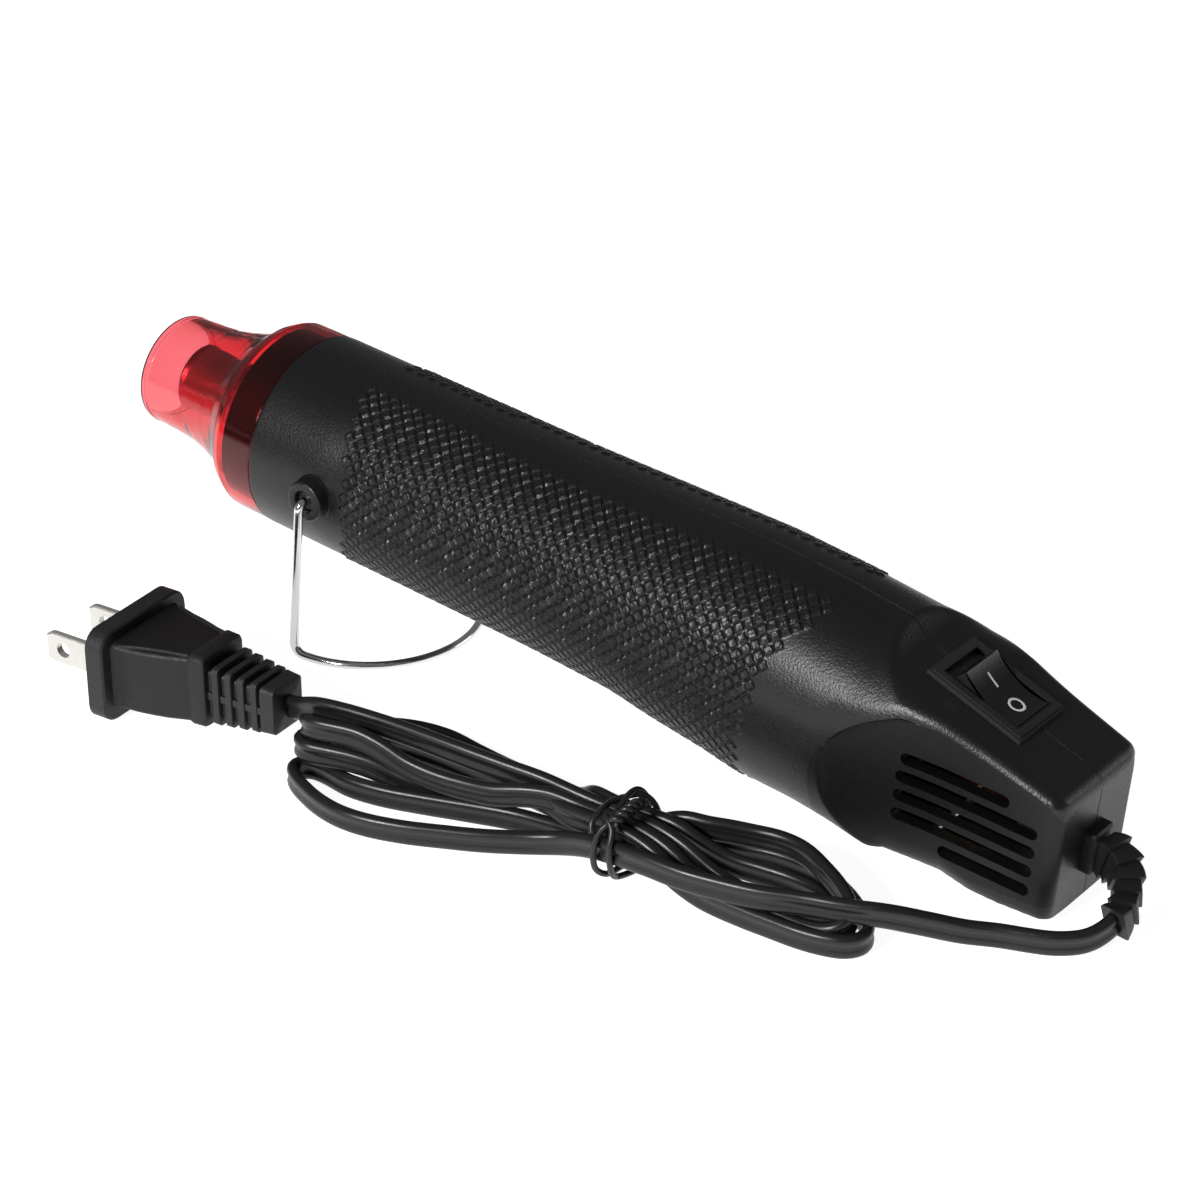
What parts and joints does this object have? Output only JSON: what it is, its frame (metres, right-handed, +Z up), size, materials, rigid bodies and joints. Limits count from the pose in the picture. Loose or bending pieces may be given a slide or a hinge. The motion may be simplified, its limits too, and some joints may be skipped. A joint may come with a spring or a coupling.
{
  "type": "embossing heat tool",
  "caption": "Pen-shaped hot air tool with a black housing, clear red nozzle guard, rocker switch, swinging wire stand and a tied coil of flat cord with plug.",
  "frame": {"origin": "on the bench under the middle of the tool, measured without its free cord", "axes": "+X from the nozzle to the tail, +Y to the tool's right seen from its tail, +Z up"},
  "size_m": [0.2347, 0.0913, 0.0587],
  "materials": {
    "shell_plastic": "spark-textured black ABS",
    "clear_red": "clear red moulded plastic",
    "nozzle_steel": "drawn steel sheet",
    "black_resin": "moulded resin",
    "mica": "pressed mica sheet",
    "heater_wire": "resistance ribbon",
    "ceramic_white": "glazed",
    "zinc_steel": "zinc-plated",
    "magnet_grey": "sintered ferrite",
    "white_resin": "moulded resin",
    "brass": "rolled",
    "copper_rotor": "laminations wound with enamelled copper",
    "polished_steel": "turned",
    "fan_resin": "moulded resin",
    "board_green": "solder mask",
    "capacitor_blue": "sleeve",
    "switch_black": "moulded nylon",
    "switch_gloss": "polished nylon",
    "stand_wire": "bright plated wire",
    "soft_pvc": "soft moulded PVC",
    "cord_pvc": "satin PVC sheath",
    "tie_pvc": "coated wire",
    "plug_pvc": "moulded PVC",
    "nickel_blade": "nickel-plated brass",
    "lead_red": "silicone insulation"
  },
  "bodies": {
    "housing": {"left_shell": "shell_plastic", "right_shell": "shell_plastic", "nozzle_guard": "clear_red", "nozzle_tube": "nozzle_steel", "nozzle_plate": "black_resin", "duct_ring": "black_resin", "mica_sleeve": "mica", "mica_cross": "mica", "heating_coil": "heater_wire", "thermal_fuse": "ceramic_white", "motor_can": "zinc_steel", "motor_magnets": "magnet_grey", "motor_cap": "white_resin", "motor_bushes": "brass", "motor_mount": "black_resin", "motor_brushes": "brass", "circuit_board": "board_green", "rectifier_diodes": "black_resin", "filter_capacitor": "capacitor_blue", "switch_housing": "switch_black", "switch_terminals": "brass", "cord_clamp": "black_resin", "clamp_screws": "polished_steel", "housing_screws": "polished_steel", "strain_relief": "soft_pvc", "cord_tool_lead": "cord_pvc", "cord_hank": "cord_pvc", "cord_plug_lead": "cord_pvc", "cord_tie": "tie_pvc", "plug_body": "plug_pvc", "plug_blades": "nickel_blade", "inner_leads": "lead_red"},
    "stand": {"wire_stand": "stand_wire"},
    "rocker": {"switch_rocker": "switch_gloss", "rocker_plunger": "brass"},
    "contact": {"contact_plate": "brass"},
    "fan": {"fan_impeller": "fan_resin", "motor_shaft": "polished_steel", "motor_rotor": "copper_rotor"}
  },
  "joints": [
    {"name": "stand_swing", "type": "hinge", "parent": "housing", "child": "stand", "pos_m": [-0.05534, 0, 0.03642], "axis": [0, 1, 0], "range_deg": [-23, 94]},
    {"name": "rocker_tilt", "type": "hinge", "parent": "housing", "child": "rocker", "pos_m": [0.08822, 0, 0.03452], "axis": [0, -1, 0], "range_deg": [0, 26]},
    {"name": "contact_tilt", "type": "hinge", "parent": "housing", "child": "contact", "pos_m": [0.08553, 0, 0.02763], "axis": [0, 1, 0], "range_deg": [0, 13]},
    {"name": "fan_spin", "type": "hinge", "parent": "housing", "child": "fan", "pos_m": [-0.00055, 0, 0.03163], "axis": [0.9962, 0, -0.0872], "continuous": true}
  ],
  "couplings": [
    {"joint": "contact_tilt", "follows": "rocker_tilt", "ratio": 0.5}
  ]
}
